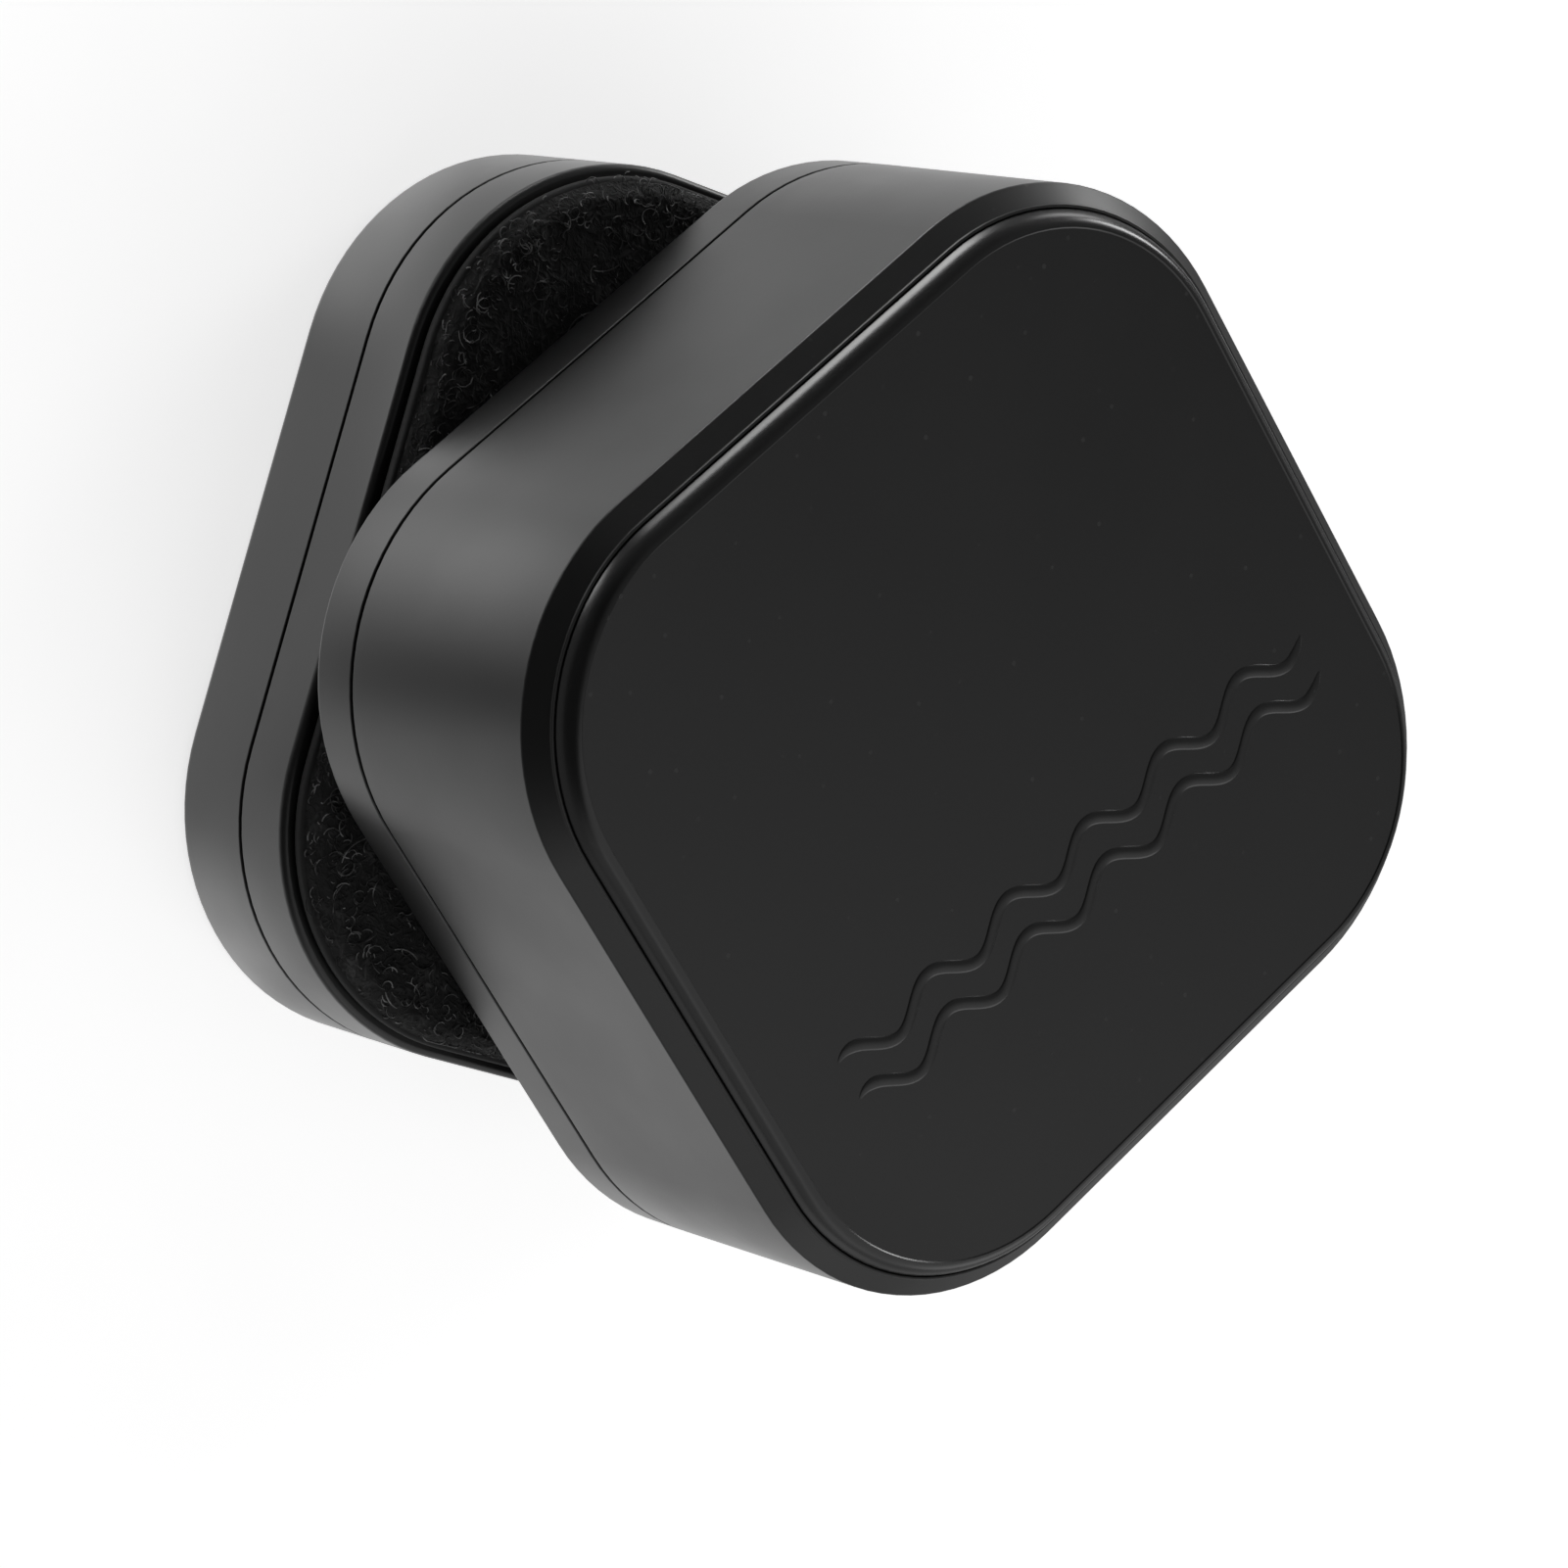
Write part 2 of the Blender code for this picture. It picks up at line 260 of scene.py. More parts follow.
def soften_shading(obj: bpy.types.Object, degrees: float = 32.0) -> None:
    """Shade smooth and keep real corners sharp."""
    obj.data.shade_smooth()
    obj.data.set_sharp_from_angle(angle=math.radians(degrees))


def combine(target: bpy.types.Object, tools: Iterable[bpy.types.Object], cut: Cut) -> None:
    """Join or cut solids exactly and remove the tools.

    Args:
        target: The piece that is changed.
        tools: The joining or cutting solids.
        cut: Whether they are joined or removed.
    """
    tools = list(tools)
    for tool in tools:
        step = target.modifiers.new(tool.name, "BOOLEAN")
        step.operation = cut.value
        step.solver = "EXACT"
        step.object = tool
    bpy.context.view_layer.update()
    evaluated = target.evaluated_get(bpy.context.evaluated_depsgraph_get())
    mesh = bpy.data.meshes.new_from_object(evaluated)
    target.modifiers.clear()
    target.data = mesh
    for tool in tools:
        bpy.data.objects.remove(tool, do_unlink=True)
    soften_shading(target)


# ---------------------------------------------------------------- shader graphs


class Graph:
    """A thin typed hand on one node tree."""

    def __init__(self, tree: bpy.types.NodeTree) -> None:
        """Keep the tree."""
        self.tree = tree

    def node(self, kind: str, settings: dict[str, object] | None = None,
             **inputs: object) -> bpy.types.Node:
        """Add a node.

        Args:
            kind: Blender's type name of the node.
            settings: Attributes to set on it.
            inputs: Socket values or output sockets, named with _ for a space.

        Returns:
            The new node.
        """
        made = self.tree.nodes.new(kind)
        for name, value in (settings or {}).items():
            setattr(made, name, value)
        for name, value in inputs.items():
            self.feed(made, name.replace("_", " "), value)
        return made

    def feed(self, node: bpy.types.Node, socket: str | int, value: object) -> None:
        """Link an output socket to an input, or set the input's value."""
        target = node.inputs[int(socket)] if str(socket).isdigit() else node.inputs[socket]
        if isinstance(value, bpy.types.NodeSocket):
            self.tree.links.new(value, target)
        else:
            target.default_value = value

    def math(self, operation: str, first: object, second: object = 0.0,
             clamp: bool = False) -> bpy.types.NodeSocket:
        """One arithmetic step; returns its output."""
        made = self.tree.nodes.new("ShaderNodeMath")
        made.operation = operation
        made.use_clamp = clamp
        self.feed(made, 0, first)
        self.feed(made, 1, second)
        return made.outputs[0]

    def times(self, first: object, second: object, clamp: bool = False) -> bpy.types.NodeSocket:
        """A product; returns its output."""
        return self.math("MULTIPLY", first, second, clamp)

    def plus(self, first: object, second: object, clamp: bool = False) -> bpy.types.NodeSocket:
        """A sum; returns its output."""
        return self.math("ADD", first, second, clamp)

    def ease(self, value: object, low: float, high: float, start: object = 0.0,
             end: object = 1.0) -> bpy.types.NodeSocket:
        """A smooth step from one range to another; returns its output."""
        made = self.tree.nodes.new("ShaderNodeMapRange")
        made.interpolation_type = "SMOOTHSTEP"
        for socket, entry in (("Value", value), ("From Min", low), ("From Max", high),
                              ("To Min", start), ("To Max", end)):
            self.feed(made, socket, entry)
        return made.outputs["Result"]

    def tint(self, factor: object, first: object, second: object) -> bpy.types.NodeSocket:
        """A mix of two colours; returns its output."""
        made = self.tree.nodes.new("ShaderNodeMix")
        made.data_type = "RGBA"
        self.tree.links.new(factor, made.inputs["Factor"])
        for socket, entry in ((6, first), (7, second)):
            if isinstance(entry, bpy.types.NodeSocket):
                self.tree.links.new(entry, made.inputs[socket])
            else:
                made.inputs[socket].default_value = entry
        return made.outputs[2]

    def noise(self, vector: object, scale: float, detail: float = 2.0,
              roughness: float = 0.5) -> bpy.types.NodeSocket:
        """Soft noise; returns its value."""
        made = self.node("ShaderNodeTexNoise", Vector=vector, Scale=scale, Detail=detail,
                         Roughness=roughness)
        return made.outputs["Fac"]


    def place(self) -> bpy.types.NodeSocket:
        """The piece's own coordinates."""
        return self.node("ShaderNodeTexCoord").outputs["Object"]

    def upward(self) -> bpy.types.NodeSocket:
        """How far the surface looks up, from -1 to 1."""
        normal = self.node("ShaderNodeNewGeometry").outputs["Normal"]
        return self.node("ShaderNodeSeparateXYZ", Vector=normal).outputs["Z"]

    def group(self, tree: bpy.types.NodeTree, **inputs: float) -> bpy.types.bpy_prop_collection:
        """Put a shared group in the graph with its own values; returns its outputs."""
        return self.node("ShaderNodeGroup", {"node_tree": tree}, **inputs).outputs


def grey(value: float, warmth: float = 0.0) -> tuple[float, float, float, float]:
    """A grey, slightly warm above zero and slightly cool below."""
    return (value * (1 + warmth), value, value * (1 - warmth), 1.0)


class EffectGroups:
    """Shader node groups that several finishes share, each built once, when first used."""

    @staticmethod
    def start(name: str, inputs: dict[str, float], *outputs: str,
              ) -> tuple[Graph, bpy.types.bpy_prop_collection, bpy.types.Node]:
        """Open a new group whose inputs and outputs are plain values.

        Args:
            name: Name of the group.
            inputs: Name and usual value of each input.
            outputs: Names of the outputs.

        Returns:
            The graph, the input sockets' values and the output node.
        """
        tree = bpy.data.node_groups.new(name, "ShaderNodeTree")
        for label, value in inputs.items():
            socket = tree.interface.new_socket(name=label, in_out="INPUT",
                                               socket_type="NodeSocketFloat")
            socket.default_value = value
        for label in outputs:
            tree.interface.new_socket(name=label, in_out="OUTPUT", socket_type="NodeSocketFloat")
        given = tree.nodes.new("NodeGroupInput").outputs
        return Graph(tree), given, tree.nodes.new("NodeGroupOutput")

    @cached_property
    def mould_grain(self) -> bpy.types.NodeTree:
        """Fine spark grain of a moulded face, with slow unevenness in its gloss."""
        g, given, out = self.start("mould_grain", {"Grain Scale": 6000.0, "Smear Scale": 90.0},
                                   "Height", "Gloss Shift")
        place = g.place()
        smear = g.noise(place, given["Smear Scale"], 4.0, 0.55)
        g.feed(out, "Height", g.noise(place, given["Grain Scale"], 3.0, 0.6))
        g.feed(out, "Gloss Shift", g.ease(smear, 0.3, 0.7, -1.0, 1.0))
        return g.tree

    @cached_property
    def edge_wear(self) -> bpy.types.NodeTree:
        """Mask of handled edges, broken up by noise, off on faces that lie flat."""
        g, given, out = self.start("edge_wear", {"Start": 0.53, "Breakup Scale": 700.0}, "Mask")
        sharpness = g.node("ShaderNodeNewGeometry").outputs["Pointiness"]
        patchy = g.noise(g.place(), given["Breakup Scale"], 4.0, 0.6)
        edge = g.ease(g.math("SUBTRACT", sharpness, given["Start"]), 0.0, 0.08)
        tilted = g.ease(g.math("ABSOLUTE", g.upward()), 0.996, 0.97)
        g.feed(out, "Mask", g.times(g.times(edge, tilted), g.ease(patchy, 0.42, 0.66)))
        return g.tree

    @cached_property
    def settled_dust(self) -> bpy.types.NodeTree:
        """Mask of sparse specks that settle on faces looking up."""
        g, given, out = self.start("settled_dust", {"Speck Scale": 2600.0, "Amount": 1.0}, "Mask")
        cells = g.node("ShaderNodeTexVoronoi", Vector=g.place(), Scale=given["Speck Scale"])
        size = g.node("ShaderNodeTexWhiteNoise", {"noise_dimensions": "3D"},
                      Vector=cells.outputs["Position"]).outputs["Value"]
        speck = g.times(g.ease(cells.outputs["Distance"], 0.30, 0.12), g.ease(size, 0.94, 1.0))
        lit = g.times(speck, g.ease(g.upward(), 0.3, 0.9))
        g.feed(out, "Mask", g.times(lit, given["Amount"], clamp=True))
        return g.tree

    @cached_property
    def fibre_tangle(self) -> bpy.types.NodeTree:
        """Height of matted fibres, and a mask for a painted highlight on their raised tops, broken up
        by random clumps.
        """
        g, given, out = self.start("fibre_tangle", {"Fibre Scale": 1800.0, "Clump Scale": 260.0},
                                   "Height", "Shade")
        place = g.place()
        strands = []
        for turn in (0.35, 1.25, 2.3):
            spun = g.node("ShaderNodeVectorRotate", {"rotation_type": "Z_AXIS"},
                          Vector=place, Angle=turn).outputs["Vector"]
            drawn = g.node("ShaderNodeMapping", Vector=spun, Scale=(1.0, 0.38, 0.7))
            strands.append(g.node(
                "ShaderNodeTexNoise", Vector=drawn.outputs["Vector"],
                Scale=given["Fibre Scale"], Detail=2.0, Roughness=0.5, Distortion=0.6,
            ).outputs["Fac"])
        top = g.math("MAXIMUM", g.math("MAXIMUM", strands[0], strands[1]), strands[2])
        clump = g.noise(place, given["Clump Scale"], 3.0)
        g.feed(out, "Height", g.ease(top, 0.45, 0.75))
        # Shade is the painted highlight on raised fibres, weaker where the clump noise is low.
        g.feed(out, "Shade", g.times(g.ease(top, 0.5, 0.78), g.ease(clump, 0.3, 0.7)))
        return g.tree

    @cached_property
    def turned_metal(self) -> bpy.types.NodeTree:
        """Fine rings and stains of plated metal."""
        g, given, out = self.start("turned_metal", {"Mark Scale": 2200.0, "Stain Scale": 180.0},
                                   "Height", "Stain")
        place = g.place()
        flat = g.node("ShaderNodeMapping", Vector=place, Scale=(1.0, 1.0, 0.15))
        radius = g.node("ShaderNodeVectorMath", {"operation": "LENGTH"},
                        Vector=flat.outputs["Vector"]).outputs["Value"]
        marks = g.math("SINE", g.times(radius, g.times(given["Mark Scale"], 2 * math.pi)))
        stain = g.noise(place, given["Stain Scale"], 5.0, 0.6)
        g.feed(out, "Height", g.ease(marks, -1.0, 1.0))
        g.feed(out, "Stain", g.ease(stain, 0.35, 0.7))
        return g.tree


GROUPS = EffectGroups()


def open_material(name: str) -> tuple[bpy.types.Material, Graph, bpy.types.Node]:
    """A new material with its graph and Principled shader."""
    material = bpy.data.materials.new(name)
    material.use_nodes = True
    graph = Graph(material.node_tree)
    return material, graph, material.node_tree.nodes["Principled BSDF"]


def emboss(g: Graph, shader: bpy.types.Node, height: object, depth: float,
           strength: float) -> None:
    """Feed a height to the shader's normal through a bump node, its depth in millimetres."""
    bump = g.node("ShaderNodeBump", Strength=strength, Distance=depth * MM, Height=height)
    g.feed(shader, "Normal", bump.outputs["Normal"])


@dataclass(frozen=True)
class MouldedPlastic:
    """Satin black moulded plastic."""

    name: str
    colour: float = 0.0045
    worn_colour: float = 0.010
    dust_colour: float = 0.06
    roughness: float = 0.34
    roughness_swing: float = 0.03
    grain_scale: float = 5200.0
    grain_depth: float = 0.004
    dust: float = 0.5

    def material(self) -> bpy.types.Material:
        """Build the material."""
        material, g, shader = open_material(self.name)
        grain = g.group(GROUPS.mould_grain, Grain_Scale=self.grain_scale, Smear_Scale=70.0)
        wear = g.group(GROUPS.edge_wear, Start=0.53, Breakup_Scale=900.0)["Mask"]
        dust = g.group(GROUPS.settled_dust, Speck_Scale=1500.0, Amount=self.dust)["Mask"]
        base = g.tint(wear, grey(self.colour, -0.01), grey(self.worn_colour))
        g.feed(shader, "Base Color", g.tint(dust, base, grey(self.dust_colour)))
        rough = g.plus(g.times(grain["Gloss Shift"], self.roughness_swing), self.roughness)
        rough = g.plus(rough, g.times(wear, 0.08))
        g.feed(shader, "Roughness", g.plus(rough, g.times(dust, 0.3), clamp=True))
        shader.inputs["IOR"].default_value = 1.5
        emboss(g, shader, grain["Height"], self.grain_depth, 0.6)
        return material


@dataclass(frozen=True)
class MattedFibre:
    """Felt or a pile's ground: matted fibres whose raised tops carry a painted highlight."""

    name: str
    colour: float
    tip_colour: float
    fibre_scale: float
    depth: float
    roughness: float = 0.9
    sheen: float = 0.0

    def material(self) -> bpy.types.Material:
        """Build the material."""
        material, g, shader = open_material(self.name)
        fibres = g.group(GROUPS.fibre_tangle, Fibre_Scale=self.fibre_scale,
                         Clump_Scale=self.fibre_scale / 7)
        shade = fibres["Shade"]
        # Raised fibre tops get the lighter colour: a painted highlight, broken up by random clumps.
        g.feed(shader, "Base Color", g.tint(shade, grey(self.colour), grey(self.tip_colour)))
        g.feed(shader, "Roughness", g.math("SUBTRACT", self.roughness, g.times(shade, 0.15)))
        shader.inputs["Specular IOR Level"].default_value = 0.2
        shader.inputs["Sheen Weight"].default_value = self.sheen
        emboss(g, shader, fibres["Height"], self.depth, 0.9)
        return material


@dataclass(frozen=True)
class Monofilament:
    """Glossy black nylon of the pile's loops, with pale noise patches painted on as glints."""

    name: str
    colour: float = 0.02
    pale_colour: float = 0.26
    roughness: float = 0.30

    def material(self) -> bpy.types.Material:
        """Build the material."""
        material, g, shader = open_material(self.name)
        place = g.place()
        # Pale noise patches are painted glints on the black nylon, a little rougher where they lie.
        glint_mask = g.ease(g.noise(place, 900.0, 3.0), 0.45, 0.72)
        g.feed(shader, "Base Color", g.tint(glint_mask, grey(self.colour), grey(self.pale_colour)))
        g.feed(shader, "Roughness", g.plus(self.roughness, g.times(glint_mask, 0.15)))
        emboss(g, shader, g.noise(place, 14000.0, 1.0), 0.01, 0.5)
        return material


@dataclass(frozen=True)
class PlatedMetal:
    """Plated steel or nickel with fine turning marks."""

    name: str
    colour: Point3 = (0.62, 0.60, 0.56)
    stain_colour: Point3 = (0.42, 0.40, 0.37)
    roughness: float = 0.2

    def material(self) -> bpy.types.Material:
        """Build the material."""
        material, g, shader = open_material(self.name)
        marks = g.group(GROUPS.turned_metal, Mark_Scale=2600.0, Stain_Scale=220.0)
        wear = g.group(GROUPS.edge_wear, Start=0.54, Breakup_Scale=1400.0)["Mask"]
        base = g.tint(marks["Stain"], (*self.stain_colour, 1.0), (*self.colour, 1.0))
        bright = tuple(min(1.0, part * 1.2) for part in self.colour)
        g.feed(shader, "Base Color", g.tint(wear, base, (*bright, 1.0)))
        shader.inputs["Metallic"].default_value = 1.0
        g.feed(shader, "Roughness", g.plus(self.roughness, g.times(marks["Stain"], -0.06)))
        emboss(g, shader, marks["Height"], 0.004, 0.5)
        return material


@dataclass(frozen=True)
class CellularRubber:
    """Rubber, foam or film: a speckled soft surface whose cell hollows are painted darker, a painted
    shade.
    """

    name: str
    colour: Point3 = (0.015, 0.015, 0.015)
    hollow_colour: Point3 = (0.008, 0.008, 0.008)
    roughness: float = 0.7
    cell_scale: float = 1600.0
    depth: float = 0.05
    coat: float = 0.0

    def material(self) -> bpy.types.Material:
        """Build the material."""
        material, g, shader = open_material(self.name)
        place = g.place()
        cells = g.node("ShaderNodeTexVoronoi", Vector=place, Scale=self.cell_scale)
        hollow_and_shade = g.ease(cells.outputs["Distance"], 0.55, 0.1)
        # The cell hollows take the darker colour: painted shade in the pores; the same mask sinks them
        # in the bump.
        g.feed(shader, "Base Color", g.tint(hollow_and_shade, (*self.colour, 1.0), (*self.hollow_colour, 1.0)))
        smear = g.ease(g.noise(place, 140.0, 4.0), 0.3, 0.7, -0.05, 0.05)
        g.feed(shader, "Roughness", g.plus(self.roughness, smear, clamp=True))
        shader.inputs["Coat Weight"].default_value = self.coat
        emboss(g, shader, g.math("SUBTRACT", 1.0, hollow_and_shade), self.depth, 0.7)
        return material


class Finish:
    """Every finish of the object, built once and shared by its pieces."""

    def __init__(self) -> None:
        """Build all finishes."""
        self.housing = MouldedPlastic("satin_black_housing").material()
        self.plate = MouldedPlastic("satin_black_face", roughness=0.24, dust=0.35).material()
        self.moulding = MouldedPlastic("dark_moulding", colour=0.02, worn_colour=0.04,
                                       roughness=0.42, dust=0.0).material()
        self.backing = MouldedPlastic("pad_backing", colour=0.0065, worn_colour=0.009,
                                      roughness=0.80, grain_scale=3800.0, grain_depth=0.02,
                                      dust=0.0).material()
        self.ground = MattedFibre("pile_ground", colour=0.0160, tip_colour=0.055,
                                  fibre_scale=2600.0, depth=0.10).material()
        self.felt = MattedFibre("dark_grey_felt", colour=0.030, tip_colour=0.085,
                                fibre_scale=1500.0, depth=0.16, sheen=0.3).material()
        self.loops = Monofilament("black_monofilament").material()
        self.nickel = PlatedMetal("nickel_plating", roughness=0.16).material()
        self.steel = PlatedMetal("zinced_steel", colour=(0.52, 0.53, 0.54),
                                 stain_colour=(0.38, 0.38, 0.37), roughness=0.34).material()
        self.rubber = CellularRubber("seal_rubber").material()
        self.foam = CellularRubber("white_foam", colour=(0.78, 0.78, 0.75),
                                   hollow_colour=(0.52, 0.52, 0.50), roughness=0.9,
                                   cell_scale=1100.0, depth=0.25).material()
        self.film = CellularRubber("adhesive_film", colour=(0.66, 0.62, 0.50),
                                   hollow_colour=(0.60, 0.56, 0.45), roughness=0.35,
                                   cell_scale=700.0, depth=0.01, coat=0.4).material()


@dataclass
class Workshop:
    """What every sub-assembly needs: the outline, the finishes and a way to dress pieces."""

    finish: Finish
    outline: Outline = field(default_factory=Outline)

    def dress(self, obj: bpy.types.Object, material: bpy.types.Material, body: Body,
              slot: Slot, replaced: str | None = None) -> None:
        """Give a new piece its finish and body.

        Args:
            obj: The piece.
            material: Its finish.
            body: The body that it rides on.
            slot: Its material slot in the record; not used.
            replaced: The CAD node that it stands for.
        """
        obj.data.materials.clear()
        obj.data.materials.append(material)
        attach(obj, body.value)
        if replaced:
            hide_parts(replaced)
        LOG.info("%s: %d faces, rides on %s", obj.name, len(obj.data.polygons), body.value)

    def house(self, obj: bpy.types.Object, body: Body, replaced: str,
              material: bpy.types.Material | None = None) -> None:
        """Dress a moulded housing piece and keep its flat faces flat beside small edges."""
        weigh = obj.modifiers.new("weighted_normals", "WEIGHTED_NORMAL")
        weigh.keep_sharp = True
        weigh.weight = 90
        self.dress(obj, material or self.finish.housing, body, Slot.HOUSING, replaced)

    def repaint(self, material: bpy.types.Material, *nodes: str) -> None:
        """Give carried-over CAD nodes their finish."""
        for node in nodes:
            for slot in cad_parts[node].material_slots:
                slot.link = "OBJECT"
                slot.material = material
            LOG.info("%s: kept, finish %s", node, material.name)


# ---------------------------------------------------------------- sub-assemblies


@dataclass
class WetHalf:
    """Thin half that works under water: back shell, pad cover and what is inside."""

    shop: Workshop
    half: float = 28.0
    back_edge: float = 0.8
    parting: float = 7.25
    parting_gap: float = 0.25
    top: float = 12.15
    top_edge: float = 0.45
    lip_edge: float = 0.10
    wall: float = 2.0
    floor: float = 1.6
    skirt_half: float = 25.7
    skirt_drop: float = 2.8
    bore_half: float = 24.5
    ledge_half: float = 24.35
    ledge: float = 3.1
    foam_half: float = 24.05
    foam_hole: float = 18.3
    foam_low: float = 1.9
    foam_high: float = 10.25
    foam_edge: float = 0.25
    foam_sag: float = 0.18

    def build(self) -> None:
        """Build and dress every piece of the half."""
        self.maker = SolidMaker(self.shop.outline)
        self.back_shell()
        self.pad_cover()
        self.foam_collar()
        finish = self.shop.finish
        self.shop.repaint(finish.rubber, "inner_seal")
        self.shop.repaint(finish.nickel, "inner_magnet")
        self.shop.repaint(finish.steel, "inner_steel_cup")
        self.shop.repaint(finish.film, "inner_pad_adhesive")

    def back_shell(self) -> None:
        """Shallow tub with a rounded back edge, a thin lip and a ledge for the seal."""
        lip = self.parting - self.parting_gap / 2
        h, e, b = self.half, self.lip_edge, self.back_edge
        profile = [(CORE, 0.0), (h - b - 2.0, 0.0)]
        profile += quarter_round(h - b, b, b, b, -90, 0, 6)
        profile += [(h, 3.0)]
        profile += quarter_round(h - e, lip - e, e, e, 0, 90, 3)
        inner = h - self.wall
        profile += [(inner, lip), (inner, self.ledge), (self.ledge_half, self.ledge),
                    (self.ledge_half, self.floor), (CORE, self.floor)]
        shell = self.maker.loft("wet_back_shell", profile)
        self.shop.house(shell, Body.WET, "inner_back_shell")

    def pad_cover(self) -> None:
        """Pad-side cover with its skirt inside the back shell."""
        low = self.parting + self.parting_gap / 2
        h, e, t = self.half, self.lip_edge, self.top_edge
        foot = self.parting - self.skirt_drop
        profile = [(CORE, self.top), (h - t - 2.0, self.top)]
        profile += quarter_round(h - t, self.top - t, t, t, 90, 0, 5)
        profile += quarter_round(h - e, low + e, e, e, 0, -90, 3)
        profile += [(self.skirt_half, low), (self.skirt_half, foot), (self.bore_half, foot),
                    (self.bore_half, self.top - self.floor), (CORE, self.top - self.floor)]
        cover = self.maker.loft("wet_pad_cover", profile)
        self.shop.house(cover, Body.WET, "inner_pad_cover")

    def foam_collar(self) -> None:
        """Soft foam frame round the steel pot, a little sunk on its free face."""
        hole = Outline(half=self.foam_hole, corner=self.foam_hole).points(self.foam_hole)
        side = self.shop.outline.points(self.foam_half)

        def ring(share: float, height: float) -> np.ndarray:
            """A ring part of the way from the hole to the outer side."""
            mixed = hole * (1 - share) + side * share
            return np.c_[mixed, np.full(len(mixed), height)]

        lifts = [(share, 0.0 if 0.0 < share < 1.0 else self.foam_edge)
                 for share in (0.0, 0.08, 0.3, 0.5, 0.7, 0.92, 1.0)]
        rings = [ring(share, self.foam_low + lift) for share, lift in lifts]
        rings += [ring(share, self.foam_high - lift - self.foam_sag * math.sin(math.pi * share))
                  for share, lift in reversed(lifts)]
        faces = skin(len(side), len(rings), closed=True)
        collar = self.maker.from_points("foam_collar", np.vstack(rings), faces)
        self.shop.dress(collar, self.shop.finish.foam, Body.WET, Slot.FOAM, "inner_foam_collar")


